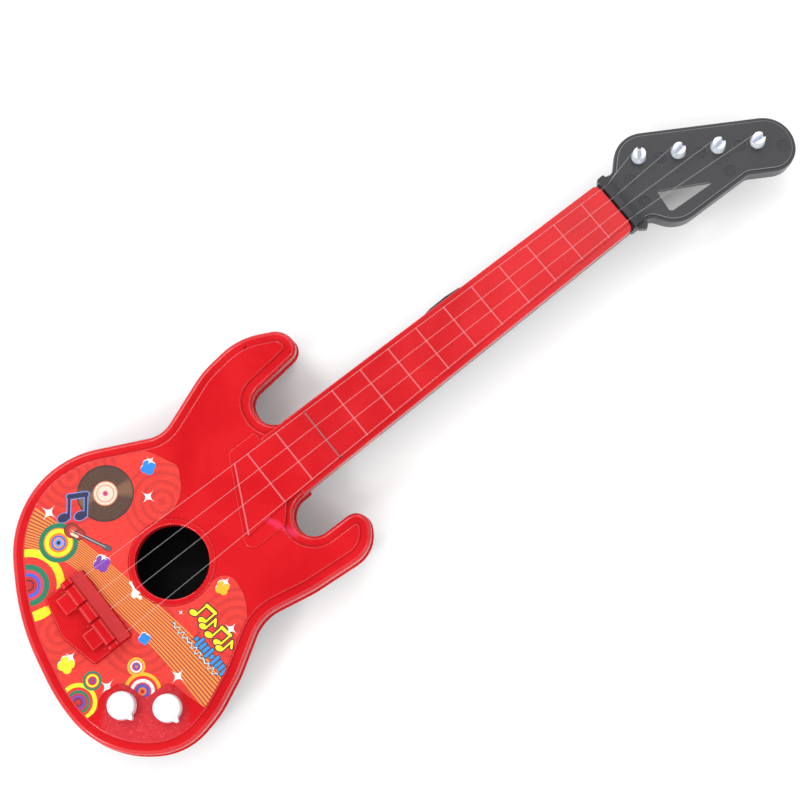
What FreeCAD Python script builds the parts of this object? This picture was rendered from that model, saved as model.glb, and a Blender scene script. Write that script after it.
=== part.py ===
import FreeCAD, Part
import math
import os

V = FreeCAD.Vector

# Toy guitar, lying on its back.  Design axes, in millimetres: x runs from the last fret towards the
# headstock, y from the neck's centreline towards the large horn, z up from the flat back.
# save() moves everything so that the origin is under the middle of the whole guitar.
ORIGIN_X = 106.0
ORIGIN_Y = -5.4

# ---- driving dimensions -------------------------------------------------------------------------
FRET_PITCH = 21.8
FRET_COUNT = 13
WALL = 2.0                    # wall of both plastic shells

# heights above the flat back
PARTING_Z = 18.0              # where the two shells meet round the body
NECK_PARTING_Z = 26.4         # the neck's back is a channel up to here, with a rail on each side above
NECK_SPLIT_Z = 30.0           # the rails' tops, where the shells meet along the neck
LEDGE_Z = 32.4                # the body's outer ledge
PLATEAU_Z = 34.0              # the body's raised face
SHOULDER_Z = 35.0             # the pad at the neck's foot
NECK_TOP_Z = 35.6             # the neck's shoulders, beside the fingerboard
BOARD_Z = 36.4                # the fingerboard
HEAD_BOTTOM_Z = 16.0          # the edge of the headstock's side wall
HEAD_STEP_Z = 24.0            # below this the side wall stands back a little
HEAD_UNDER_Z = 29.6           # the headstock is hollow up to here
HEAD_LEDGE_Z = 31.2           # the narrow ledge round the headstock's face
HEAD_FACE_Z = 32.4

# the neck narrows evenly towards the nut
NECK_END_X = 277.8
NECK_START_X = 12.0           # the shoulders begin here, at the pad's end
NECK_HALF_START = 22.3        # half width at the last fret
NECK_HALF_END = 18.4
BOARD_HALF_START = 19.4
BOARD_HALF_END = 14.1

PLATEAU_INSET = 6.8           # width of the ledge
LEDGE_ROUND = 3.0

HOLE_X, HOLE_Y = -77.0, -4.8
HOLE_RADIUS = 23.0
RING_RADIUS = 27.0            # raised ring round the sound hole
RING_Z = PLATEAU_Z + 0.8

STRING_RADIUS = 0.28
STRING_Y_NUT = (13.4, 4.6, -4.2, -12.6)
STRING_Y_BRIDGE = (20.8, 7.3, -5.5, -22.6)
STRING_Z_NUT = 38.2
STRING_Z_BRIDGE = 41.0
STRING_Z_POST = 35.0

POST_RADIUS = 4.3
POST_TAPER_Z = 35.4           # the post is a cylinder up to here, then a cone
POST_TOP_RADIUS = 4.0
POST_TOP_Z = 42.0
PEG_PLACES = [(310.4, 16.1), (332.0, 3.0), (353.6, -10.1), (375.2, -23.2)]
SLOT_ANGLES = [50.0, 8.0, 8.0, -5.0]
PEG_STEM_RADIUS = 2.5
PEG_TUBE_RADIUS = 4.6         # round each stem, under the headstock's face
PEG_TUBE_BOTTOM_Z = 20.0
RUNNING_CLEARANCE = 0.06

KNOB_PLACES = {"upper_knob": (-153.3, -55.7), "lower_knob": (-132.4, -74.1)}
KNOB_RADIUS = 8.85
KNOB_HEIGHT = 7.0
KNOB_STEM_RADIUS = 3.0

# body outline, counter-clockwise: corner x, corner y, radius of the round
CUTAWAY_AND_BODY = [
    (-2.5, -22.2, 15), (-5.0, -48.5, 13), (30.0, -49.0, 9), (35.0, -58.0, 9),
    (25.0, -76.0, 21), (-20.0, -72.0, 45), (-55.0, -65.0, 30), (-87.0, -84.5, 70),
    (-110.0, -95.0, 60), (-140.0, -101.5, 41), (-181.0, -74.0, 61), (-184.0, -29.0, 118),
    (-174.0, 24.5, 152), (-146.0, 72.0, 68), (-107.0, 93.0, 61), (-76.5, 84.0, 60),
    (-34.5, 63.0, 20), (9.0, 79.5, 62), (39.5, 83.0, 46), (66.0, 69.5, 14),
    (67.0, 52.5, 8.5), (48.0, 50.5, 60), (21.0, 48.0, 12), (17.5, 22.1, 13),
]
HEEL_UPPER_X = 33.0           # the deep part of the body ends on a slant across the neck
HEEL_LOWER_X = 15.5
STUB_X = 72.0                 # the shallow part of the body runs this far up the neck

# headstock outline, counter-clockwise from the nut's lower side
HEADSTOCK = [
    (278.1, -18.4, 0), (291.8, -18.8, 6), (302.5, -34.5, 20.2), (357.3, -35.7, 8),
    (385.6, -53.0, 15.3), (403.5, -21.5, 20.3), (308.5, 36.5, 19.1), (291.6, 18.9, 6.2),
    (278.1, 18.4, 0),
]
HEAD_LEDGE_WIDTH = 2.2
WINDOW = [(305.2, -7.7, 1.2), (303.2, -24.3, 2.5), (338.4, -26.1, 0.5)]
WINDOW_WALL_Z = 27.4          # lower edge of the wall round the window
NUT_SEAT_END_X = 288.5
# round moulding marks left on the headstock's face
EJECTOR_MARKS = [
    (296.7, 8.1), (294.7, -8.8), (321.0, 7.1), (342.9, -5.9), (365.3, -18.2), (349.8, -26.8), (386.1, -35.1),
]
MARK_RADIUS = 4.0
MARK_DEPTH = 0.5

# the back shell's edge bulges out past the neck here
BULGE = [
    (130.0, 19.2, 0), (177.0, 18.6, 0), (168.0, 21.6, 8), (158.0, 22.4, 12), (146.0, 22.2, 12),
]

# low pad at the neck's foot, and the slanted end of the fingerboard on it
PAD = [
    (12.0, 27.8, 2), (-9.0, 27.8, 3), (-39.0, -30.3, 6), (-9.0, -30.3, 3), (2.0, -18.0, 0), (12.0, -18.0, 0),
]
BOARD_SLANT = ((-31.0, -21.8), (-10.5, 19.6))

BRIDGE_BASE = [(-123.4, -25.4, 1), (-123.4, 25.4, 1), (-151.5, 25.4, 2), (-157.3, 0.0, 5), (-151.5, -25.4, 2)]
BRIDGE_SCREW_Y = (14.0, -14.0)
SADDLE_BACK_X = -139.0
SADDLE_RIDGE_X = -131.0
SADDLE_FRONT_X = -124.0

BODY_SCREWS = [
    (-158.0, 22.0), (-168.0, -28.0), (-106.0, -79.0), (-104.0, 74.0),
    (-42.0, 50.0), (-42.0, -52.0), (44.0, 66.0), (12.0, -61.5),
]
NECK_SCREWS = [(130.8, 0.0), (261.6, 0.0)]
SCREW_RADIUS = 1.4
SCREW_HEAD_RADIUS = 2.9
BOSS_RADIUS = 4.0


# ---- outlines ------------------------------------------------------------------------------------
def neck_half(x):
    return NECK_HALF_START + (NECK_HALF_END - NECK_HALF_START) * x / NECK_END_X


def board_half(x):
    return BOARD_HALF_START + (BOARD_HALF_END - BOARD_HALF_START) * x / NECK_END_X


def rounded_path(corners):
    """Lines and tangent arcs through rounded corners, counter-clockwise.

    A radius shrinks where two neighbouring rounds would not both fit on their shared side."""
    area = sum(a[0] * b[1] - b[0] * a[1] for a, b in zip(corners, corners[1:] + corners[:1]))
    if area < 0:
        corners = corners[::-1]
    count = len(corners)
    points = [V(c[0], c[1], 0) for c in corners]
    sides = [points[(i + 1) % count] - points[i] for i in range(count)]
    halves = [(math.pi - (-sides[i - 1]).getAngle(sides[i])) / 2 for i in range(count)]
    reach = [corners[i][2] * math.tan(halves[i]) for i in range(count)]
    fit = [1.0] * count
    for i in range(count):
        j = (i + 1) % count
        total = reach[i] + reach[j]
        if total > sides[i].Length:
            share = sides[i].Length / total
            fit[i] = min(fit[i], share)
            fit[j] = min(fit[j], share)
    path = []
    leave = []
    for i in range(count):
        before = sides[i - 1].normalize()
        after = sides[i].normalize()
        length = reach[i] * fit[i]
        start = points[i] - before * length
        end = points[i] + after * length
        turn = before.x * after.y - before.y * after.x
        radius = corners[i][2] * fit[i]
        path.append((start, end, points[i], radius, 1 if turn > 0 else -1))
        leave.append(after)
    return path, leave


def path_wire(corners, inset, place):
    """The outline moved inwards by inset, as a wire; place turns (u, v) into a point."""
    path, leave = rounded_path(corners)
    edges = []
    count = len(path)

    def shifted(point, direction):
        return V(point.x - direction.y * inset, point.y + direction.x * inset, 0)

    for i in range(count):
        start, end, corner, radius, turn = path[i]
        before = leave[i - 1]
        after = leave[i]
        first = shifted(start, before)
        last = shifted(end, after)
        if radius > 0.01:
            middle_direction = V(before.x + after.x, before.y + after.y, 0).normalize()
            normal = V(-middle_direction.y, middle_direction.x, 0)
            centre = start + V(-before.y, before.x, 0) * (radius * turn)
            middle = centre - normal * (turn * (radius - turn * inset))
            edges.append(Part.Arc(place(first), place(middle), place(last)).toShape())
        else:
            half = math.tan(before.getAngle(after) / 2) * turn
            last = shifted(end, after) + after * (inset * half)
        following = path[(i + 1) % count]
        goal = shifted(following[0], after)
        if following[3] <= 0.01:
            bend = after.getAngle(leave[(i + 1) % count])
            goal = goal - after * (inset * math.tan(bend / 2) * following[4])
        if (goal - last).Length > 1e-4:
            edges.append(Part.LineSegment(place(last), place(goal)).toShape())
    return Part.Wire(Part.__sortEdges__(edges))


def flat(z):
    return lambda p: V(p.x, p.y, z)


def slab(corners, z0, z1, inset=0.0):
    return Part.Face(path_wire(corners, inset, flat(z0))).extrude(V(0, 0, z1 - z0))


def stacked(corners, levels):
    """Solid through the outline at each (z, inset)."""
    return Part.makeLoft([path_wire(corners, inset, flat(z)) for z, inset in levels], True, True)


def level_edges(shape, z):
    return [e for e in shape.Edges if all(abs(v.Z - z) < 1e-5 for v in e.Vertexes)]


def round_level(shape, z, radius, keep=lambda e: True):
    """Round every edge that lies at height z."""
    return shape.makeFillet(radius, [e for e in level_edges(shape, z) if keep(e)])


def disc(x, y, radius, z0, z1):
    return Part.makeCylinder(radius, z1 - z0, V(x, y, z0))


def block(x0, x1, y0, y1, z0, z1):
    return Part.makeBox(x1 - x0, y1 - y0, z1 - z0, V(x0, y0, z0))


def joined(shapes):
    return shapes[0].fuse(shapes[1:]).removeSplitter()


def save(name, shape):
    """Write one sub-part, in the row's own frame."""
    moved = shape.copy()
    moved.translate(V(-ORIGIN_X, -ORIGIN_Y, 0))
    if not moved.isValid():
        print("not valid:", name)
    box = moved.BoundBox
    print("%-18s %2d solid  %8.1f mm3   z %.2f .. %.2f" % (
        name, len(moved.Solids), moved.Volume, box.ZMin, box.ZMax))
    moved.exportStep("parts/%s.step" % name)


BODY_SHALLOW = CUTAWAY_AND_BODY + [(STUB_X, neck_half(STUB_X), 0), (STUB_X, -neck_half(STUB_X), 0)]
BODY_DEEP = CUTAWAY_AND_BODY + [
    (HEEL_UPPER_X, neck_half(HEEL_UPPER_X), 0), (HEEL_LOWER_X, -neck_half(HEEL_LOWER_X), 0)]


def neck_outline(start_x, end_x, margin, end_round):
    return [
        (start_x, -neck_half(start_x) + margin, 0),
        (end_x, -neck_half(end_x) + margin, end_round),
        (end_x, neck_half(end_x) - margin, end_round),
        (start_x, neck_half(start_x) - margin, 0),
    ]


# ---- front shell ---------------------------------------------------------------------------------
def frets():
    radius = 0.95
    sink = 0.45
    bars = []
    for i in range(FRET_COUNT):
        x = i * FRET_PITCH
        half = board_half(x) - 0.2
        bars.append(Part.makeCylinder(radius, 2 * half, V(x, -half, BOARD_Z - sink), V(0, 1, 0)))
    start = V(BOARD_SLANT[0][0] + 1.0, BOARD_SLANT[0][1] + 0.3, BOARD_Z - sink)
    end = V(BOARD_SLANT[1][0] + 0.7, BOARD_SLANT[1][1] - 0.3, BOARD_Z - sink)
    bars.append(Part.makeCylinder(radius, (end - start).Length, start, end - start))
    return bars


def fingerboard():
    corners = [
        (BOARD_SLANT[0][0], BOARD_SLANT[0][1], 0.8), (0, -board_half(0), 0),
        (NECK_END_X, -board_half(NECK_END_X), 0.8), (NECK_END_X, board_half(NECK_END_X), 0.8),
        (BOARD_SLANT[1][0], BOARD_SLANT[1][1], 0.8)]
    board = slab(corners, SHOULDER_Z - 1, BOARD_Z)
    return round_level(board, BOARD_Z, 0.45)


def screw_bosses(places, z0, z1):
    tubes = []
    holes = []
    for x, y in places:
        tubes.append(disc(x, y, BOSS_RADIUS, z0, z1))
        holes.append(disc(x, y, SCREW_RADIUS + 0.05, z0 - 1, z1 - 1.2))
    return tubes, holes


def front_shell():
    deep = slab(BODY_DEEP, PARTING_Z, NECK_PARTING_Z)
    ledge = slab(BODY_SHALLOW, NECK_PARTING_Z, LEDGE_Z)
    ledge = round_level(ledge, LEDGE_Z, LEDGE_ROUND, lambda e: e.BoundBox.XMin < STUB_X - 1)
    plateau = slab(BODY_SHALLOW, LEDGE_Z - 2, PLATEAU_Z, PLATEAU_INSET)
    plateau = round_level(plateau, PLATEAU_Z, 1.2, lambda e: e.BoundBox.XMin < STUB_X - PLATEAU_INSET - 1)
    pad = slab(PAD, PLATEAU_Z - 1, SHOULDER_Z)
    pad = round_level(pad, SHOULDER_Z, 0.7, lambda e: e.BoundBox.YMin > -17 or e.BoundBox.XMax < 1.9)
    neck = slab(neck_outline(NECK_START_X, NECK_END_X, 0, 4), NECK_SPLIT_Z, NECK_TOP_Z)
    neck = round_level(neck, NECK_TOP_Z, 0.8)
    lip = round_level(slab(BODY_DEEP, PARTING_Z, PARTING_Z + 1.4, -0.9), PARTING_Z + 1.4, 0.5)
    ring = disc(HOLE_X, HOLE_Y, RING_RADIUS, PLATEAU_Z - 1, RING_Z)
    ring = round_level(ring, RING_Z, 0.7)
    outer = joined([deep, ledge, plateau, pad, neck, lip, ring, fingerboard()] + frets())

    under_face = PLATEAU_Z - WALL
    hollows = [
        slab(BODY_DEEP, PARTING_Z - 1, NECK_PARTING_Z, WALL),
        slab(BODY_SHALLOW, NECK_PARTING_Z, LEDGE_Z - WALL, WALL),
        slab(BODY_SHALLOW, LEDGE_Z - WALL, under_face, PLATEAU_INSET + 1.4),
        slab(neck_outline(20, NECK_END_X - WALL, WALL, 2.5), NECK_PARTING_Z - 1, NECK_TOP_Z - WALL),
    ]
    heel_keep = slab(BODY_DEEP, PARTING_Z, NECK_PARTING_Z + 0.1).cut(
        slab(BODY_DEEP, PARTING_Z - 1, NECK_PARTING_Z + 1, WALL))
    hollow = joined(hollows).cut(heel_keep)
    shell = outer.cut(hollow)

    body_tubes, body_holes = screw_bosses(BODY_SCREWS, PARTING_Z, under_face + 0.5)
    body_tubes = [t.common(outer) for t in body_tubes]
    neck_tubes, neck_holes = screw_bosses(NECK_SCREWS, NECK_PARTING_Z, NECK_TOP_Z - 1)
    well = disc(HOLE_X, HOLE_Y, HOLE_RADIUS + 1.8, under_face - 5, under_face + 0.5)
    shell = joined([shell, well] + body_tubes + neck_tubes)
    cuts = body_holes + neck_holes
    cuts.append(disc(HOLE_X, HOLE_Y, HOLE_RADIUS, under_face - 6, RING_Z + 1))
    for x, y in KNOB_PLACES.values():
        cuts.append(disc(x, y, KNOB_STEM_RADIUS + RUNNING_CLEARANCE, under_face - 2, PLATEAU_Z + 1))
    for y in BRIDGE_SCREW_Y:
        cuts.append(disc(bridge_screw_x(), y, SCREW_RADIUS + 0.2, under_face - 2, PLATEAU_Z + 1))
    shell = shell.cut(cuts)
    rim = [e for e in level_edges(shell, RING_Z) if abs(e.BoundBox.XLength - 2 * HOLE_RADIUS) < 0.1]
    return shell.makeFillet(0.8, rim)


# ---- back shell ----------------------------------------------------------------------------------
def neck_section(x, margin, bottom_z, top_z, round_radius):
    """Cross-section of the neck's back at x, as a wire across the neck."""
    top = neck_half(x) - margin
    low = top - 5.0
    corners = [(-low, bottom_z, round_radius), (low, bottom_z, round_radius),
               (top, top_z, 0), (-top, top_z, 0)]
    return path_wire(corners, 0.0, lambda p: V(x, p.x, p.y))


def neck_channel(start_x, end_x, margin, bottom_z, top_z, round_radius):
    ends = [neck_section(x, margin, bottom_z, top_z, round_radius) for x in (start_x, end_x)]
    return Part.makeLoft(ends, True, True)


NECK_BACK_Z = 13.0


def headstock_block():
    """The headstock's outer shape: a stepped side wall, a ledge and a raised face."""
    low = slab(HEADSTOCK, HEAD_BOTTOM_Z, HEAD_STEP_Z, 0.5)
    low = round_level(low, HEAD_BOTTOM_Z, 2.0, lambda e: e.BoundBox.XMax > 294)
    high = slab(HEADSTOCK, HEAD_STEP_Z, HEAD_LEDGE_Z)
    high = round_level(high, HEAD_LEDGE_Z, 0.6, lambda e: e.BoundBox.XMax > 294)
    face = slab(HEADSTOCK, HEAD_LEDGE_Z - 1, HEAD_FACE_Z, HEAD_LEDGE_WIDTH)
    face = round_level(face, HEAD_FACE_Z, 0.5, lambda e: e.BoundBox.XMax > 294)
    seat = slab(HEADSTOCK, HEAD_LEDGE_Z - 1, HEAD_FACE_Z).common(block(270, NUT_SEAT_END_X, -40, 40, 0, 60))
    return joined([low, high, face, seat])


def headstock_cuts():
    """What is taken out of the headstock: its hollow, less the tubes in it, and its holes."""
    hollow = slab(HEADSTOCK, HEAD_BOTTOM_Z - 1, HEAD_UNDER_Z, WALL + 0.5)
    keep = [block(270, 290, -40, 40, 0, 60), slab(WINDOW, WINDOW_WALL_Z, HEAD_UNDER_Z + 1, -1.6)]
    keep += [disc(x, y, PEG_TUBE_RADIUS, PEG_TUBE_BOTTOM_Z, HEAD_UNDER_Z + 1) for x, y in PEG_PLACES]
    cuts = [
        hollow.cut(keep),
        block(281, 286, -14, 14, NECK_PARTING_Z - 1, HEAD_FACE_Z - WALL),
        slab(WINDOW, WINDOW_WALL_Z - 1, HEAD_FACE_Z + 1),
    ]
    for x, y in EJECTOR_MARKS:
        cuts.append(disc(x, y, MARK_RADIUS, HEAD_FACE_Z - MARK_DEPTH, HEAD_FACE_Z + 1))
    for x, y in PEG_PLACES:
        cuts.append(disc(x, y, PEG_STEM_RADIUS + RUNNING_CLEARANCE, PEG_TUBE_BOTTOM_Z - 1, HEAD_FACE_Z + 1))
    return cuts


def back_shell():
    pan = stacked(BODY_DEEP, [(PARTING_Z, 0.2), (6.5, 1.5), (3.8, 2.4), (1.7, 4.0), (0.5, 6.2), (0.0, 8.2)])
    channel = neck_channel(6, 290, 0.0, NECK_BACK_Z, NECK_PARTING_Z, 7.0)
    channel = channel.cut(slab(BODY_DEEP, PARTING_Z, NECK_PARTING_Z + 1, -1.1))
    rails = slab(neck_outline(STUB_X + 0.15, 279, 0, 0), NECK_PARTING_Z, NECK_SPLIT_Z)
    bulge = slab(BULGE, NECK_SPLIT_Z - 4.0, NECK_SPLIT_Z - 0.1)
    bosses = []
    wells = []
    for x, y in BODY_SCREWS:
        bosses.append(disc(x, y, BOSS_RADIUS + 0.6, 1, PARTING_Z))
        wells.append(disc(x, y, SCREW_HEAD_RADIUS + 0.4, -1, PARTING_Z - 6))
        wells.append(disc(x, y, SCREW_RADIUS + 0.15, 0, PARTING_Z + 1))
    for x, y in NECK_SCREWS:
        bosses.append(disc(x, y, BOSS_RADIUS + 0.6, NECK_BACK_Z + 0.5, NECK_PARTING_Z))
        wells.append(disc(x, y, SCREW_HEAD_RADIUS + 0.4, NECK_BACK_Z - 1, NECK_PARTING_Z - 5))
        wells.append(disc(x, y, SCREW_RADIUS + 0.15, NECK_BACK_Z, NECK_PARTING_Z + 1))
    outer = joined([pan, channel, rails, bulge, headstock_block()])
    hollows = [
        stacked(BODY_DEEP, [(WALL, 8.2), (4.2, 5.4), (7.0, 3.8), (PARTING_Z + 1, 2.3)]),
        neck_channel(8, 286, WALL, NECK_BACK_Z + WALL, NECK_PARTING_Z + 1, 5.0),
    ]
    between_rails = slab(neck_outline(STUB_X - 1, 278, WALL, 0), NECK_PARTING_Z, NECK_SPLIT_Z + 1)
    shell = outer.cut(joined(hollows)).cut([between_rails] + headstock_cuts())
    return joined([shell] + bosses).cut(wells)


# ---- nut -----------------------------------------------------------------------------------------
def nut():
    """Notched ridge that sits on the end of the neck, with a lug at each side."""
    half = NECK_HALF_END - 0.1
    front_x, back_x = 279.0, 286.2
    profile = [V(front_x, 0, HEAD_FACE_Z), V(back_x, 0, HEAD_FACE_Z), V(back_x, 0, 36.2),
               V(282.4, 0, 38.9), V(front_x, 0, 38.3)]
    face = Part.Face(Part.makePolygon(profile + profile[:1]))
    face.translate(V(0, -half, 0))
    ridge = face.extrude(V(0, 2 * half, 0))
    upper = [(279.0, half - 1, 0), (285.5, half - 1, 0), (285.0, half + 2.6, 1.2), (279.6, half + 2.2, 1.2)]
    lower = [(279.5, -half + 1, 0), (280.6, -half - 2.6, 0.6), (284.6, -half - 5.4, 1.2),
             (288.0, -half - 2.0, 1.0), (286.8, -half + 1, 0)]
    upper_lug = slab(upper, HEAD_FACE_Z - 3.5, HEAD_FACE_Z + 2.6)
    lower_lug = slab(lower, HEAD_FACE_Z - 3.0, HEAD_FACE_Z + 1.8)
    neck_end = slab(HEADSTOCK, 0, HEAD_FACE_Z)
    body = joined([ridge, upper_lug.cut(neck_end), lower_lug.cut(neck_end)])
    notches = []
    half_notch = 0.7
    floor_z = STRING_Z_NUT - STRING_RADIUS - 0.25
    for y in STRING_Y_NUT:
        notches.append(block(278, 287, y - half_notch, y + half_notch, floor_z, 40))
        slope = [V(282.0, y - half_notch, floor_z), V(287.0, y - half_notch, floor_z - 2.1),
                 V(287.0, y - half_notch, 40), V(282.0, y - half_notch, 40)]
        notches.append(Part.Face(Part.makePolygon(slope + slope[:1])).extrude(V(0, 2 * half_notch, 0)))
    return body.cut(notches)


# ---- bridge --------------------------------------------------------------------------------------
def bridge_screw_x():
    return (SADDLE_BACK_X + SADDLE_RIDGE_X) / 2


def bridge():
    base_top = PLATEAU_Z + 2.6
    base = round_level(slab(BRIDGE_BASE, PLATEAU_Z, base_top), base_top, 0.8)
    half = 25.4
    top = PLATEAU_Z + 9.0
    front = [V(SADDLE_RIDGE_X, 0, base_top - 1), V(SADDLE_FRONT_X, 0, base_top - 1),
             V(SADDLE_FRONT_X, 0, base_top + 0.6), V(SADDLE_RIDGE_X, 0, STRING_Z_BRIDGE - 0.4)]
    front = Part.Face(Part.makePolygon(front + front[:1]))
    front.translate(V(0, -half, 0))
    front = front.extrude(V(0, 2 * half, 0))
    bed = block(SADDLE_BACK_X, SADDLE_RIDGE_X, -half, half, base_top - 1, STRING_Z_BRIDGE - 0.4)
    groove = 0.8
    bounds = [half] + [y for s in STRING_Y_BRIDGE for y in (s + groove, s - groove)] + [-half]
    blocks = []
    for high, low in zip(bounds[0::2], bounds[1::2]):
        piece = block(SADDLE_BACK_X, SADDLE_RIDGE_X, low, high, base_top - 1, top)
        crest = [e for e in level_edges(piece, top) if e.BoundBox.XLength < 0.01]
        blocks.append(piece.makeFillet(2.4, crest))
    tuners = []
    for y in (13.8, -13.2):
        box = block(SADDLE_BACK_X - 8.0, SADDLE_BACK_X + 1, y - 6.0, y + 6.0, base_top - 1, base_top + 4.2)
        box = box.makeFillet(1.2, [e for e in box.Edges if e.BoundBox.ZMin > base_top + 4.1])
        tuners.append(box)
    body = joined([base, front, bed] + blocks + tuners)
    x = bridge_screw_x()
    return body.cut([disc(x, y, SCREW_RADIUS + 0.05, PLATEAU_Z - 1, PLATEAU_Z + 6) for y in BRIDGE_SCREW_Y])


# ---- fasteners -----------------------------------------------------------------------------------
def screw(x, y, head_z, tip_z, head_radius=SCREW_HEAD_RADIUS):
    """Pan-head screw pointing up from head_z to tip_z, with a cross recess under its head."""
    head_height = 1.8
    head = disc(x, y, head_radius, head_z - head_height, head_z)
    head = round_level(head, head_z - head_height, 0.9)
    shaft = disc(x, y, SCREW_RADIUS, head_z, tip_z - 1.5)
    tip = Part.makeCone(SCREW_RADIUS, 0.4, 1.5, V(x, y, tip_z - 1.5))
    arm = head_radius * 0.6
    low = head_z - head_height - 0.1
    cross = [block(x - arm, x + arm, y - 0.4, y + 0.4, low, low + 1.0),
             block(x - 0.4, x + 0.4, y - arm, y + arm, low, low + 1.0)]
    return joined([head, shaft, tip]).cut(cross)


def body_screws():
    return Part.makeCompound([screw(x, y, PARTING_Z - 6, PARTING_Z + 8) for x, y in BODY_SCREWS])


def neck_screws():
    return Part.makeCompound([screw(x, y, NECK_PARTING_Z - 5, NECK_PARTING_Z + 5.5) for x, y in NECK_SCREWS])


def bridge_screws():
    x = bridge_screw_x()
    return Part.makeCompound([screw(x, y, PLATEAU_Z - WALL, PLATEAU_Z + 5.5) for y in BRIDGE_SCREW_Y])


# ---- label ---------------------------------------------------------------------------------------
LABEL_THICKNESS = 0.25
LABEL_LOBES = [
    (-82.0, -92.0, 0), (-54.6, -50.0, 25), (-52.3, -29.6, 9), (-72.0, -29.6, 4), (-77.0, -16.0, 0),
    (-77.0, 8.0, 0), (-72.0, 20.6, 4), (-49.5, 20.6, 20), (-38.0, 40.5, 6), (-46.0, 57.0, 20),
    (-56.0, 72.0, 0), (-56.0, 90.0, 0), (-200.0, 100.0, 0), (-200.0, -110.0, 0),
    (-100.0, -110.0, 0),
]
KNOB_FIELD = [
    (-190.0, -48.5, 0), (-166.0, -48.5, 4), (-162.5, -42.6, 9), (-145.0, -42.6, 9), (-139.5, -61.2, 5),
    (-122.0, -61.2, 6), (-118.5, -76.0, 8), (-113.0, -92.0, 0), (-113.0, -115.0, 0), (-190.0, -115.0, 0),
]


def front_label():
    top = PLATEAU_Z + LABEL_THICKNESS
    face = slab(BODY_SHALLOW, PLATEAU_Z, top, PLATEAU_INSET + 1.3)
    face = face.common(slab(LABEL_LOBES, PLATEAU_Z, top))
    return face.cut([
        disc(HOLE_X, HOLE_Y, RING_RADIUS + 0.4, PLATEAU_Z - 1, top + 1),
        slab(BRIDGE_BASE, PLATEAU_Z - 1, top + 1, -0.5),
        slab(KNOB_FIELD, PLATEAU_Z - 1, top + 1),
    ])


# ---- knobs ---------------------------------------------------------------------------------------
def knob(x, y):
    """Control knob with a pointer tab and a stem through the front shell."""
    base_z = PLATEAU_Z + 0.2
    top_z = base_z + KNOB_HEIGHT
    cap = Part.makeCone(KNOB_RADIUS, KNOB_RADIUS - 0.5, KNOB_HEIGHT, V(x, y, base_z))
    cap = round_level(cap, top_z, 1.0)
    rim_y = y - KNOB_RADIUS
    pointer = [(x - 2.6, rim_y + 1.5, 0), (x + 2.6, rim_y + 1.5, 0),
               (x + 0.7, rim_y - 2.0, 0.5), (x - 0.7, rim_y - 2.0, 0.5)]
    tab = slab(pointer, base_z, top_z - 0.8)
    stem = disc(x, y, KNOB_STEM_RADIUS, PLATEAU_Z - WALL - 1.6, base_z + 0.5)
    bore = disc(x, y, SCREW_RADIUS + 0.03, PLATEAU_Z - WALL - 3, base_z + 5.0)
    return joined([cap, tab, stem]).cut(bore)


KNOB_WASHER_Z = PLATEAU_Z - WALL - 1.6


def knob_washer(x, y):
    ring = disc(x, y, 5.5, KNOB_WASHER_Z - 1.0, KNOB_WASHER_Z)
    return ring.cut(disc(x, y, SCREW_RADIUS + 0.2, KNOB_WASHER_Z - 2, KNOB_WASHER_Z + 1))


def knob_screw(x, y):
    return screw(x, y, KNOB_WASHER_Z - 1.0, PLATEAU_Z + 4.5)


# ---- tuning pegs ---------------------------------------------------------------------------------
POST_BASE_Z = HEAD_FACE_Z + 0.15
SOCKET_RADIUS = 1.8
SLOT_FLOOR_Z = 36.2


def peg_post(x, y, slot_angle):
    """White string post: a straight foot for the string, a cone and a V slot across its top."""
    foot = disc(x, y, POST_RADIUS, POST_BASE_Z, POST_TAPER_Z)
    cone = Part.makeCone(POST_RADIUS, POST_TOP_RADIUS, POST_TOP_Z - POST_TAPER_Z, V(x, y, POST_TAPER_Z))
    post = round_level(joined([foot, cone]), POST_TOP_Z, 0.7)
    section = [V(0, -0.75, SLOT_FLOOR_Z), V(0, 0.75, SLOT_FLOOR_Z), V(0, 1.0, POST_TOP_Z - 2.4),
               V(0, 1.7, POST_TOP_Z + 0.2), V(0, -1.7, POST_TOP_Z + 0.2), V(0, -1.0, POST_TOP_Z - 2.4)]
    reach = POST_RADIUS + 2
    slot = Part.Face(Part.makePolygon(section + section[:1])).extrude(V(2 * reach, 0, 0))
    slot.translate(V(-reach, 0, 0))
    slot.rotate(V(0, 0, 0), V(0, 0, 1), slot_angle)
    slot.translate(V(x, y, 0))
    socket = disc(x, y, SOCKET_RADIUS, POST_BASE_Z - 1, POST_BASE_Z + 2.9)
    return post.cut([slot, socket])


KEY_BOTTOM_Z = 5.0


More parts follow.
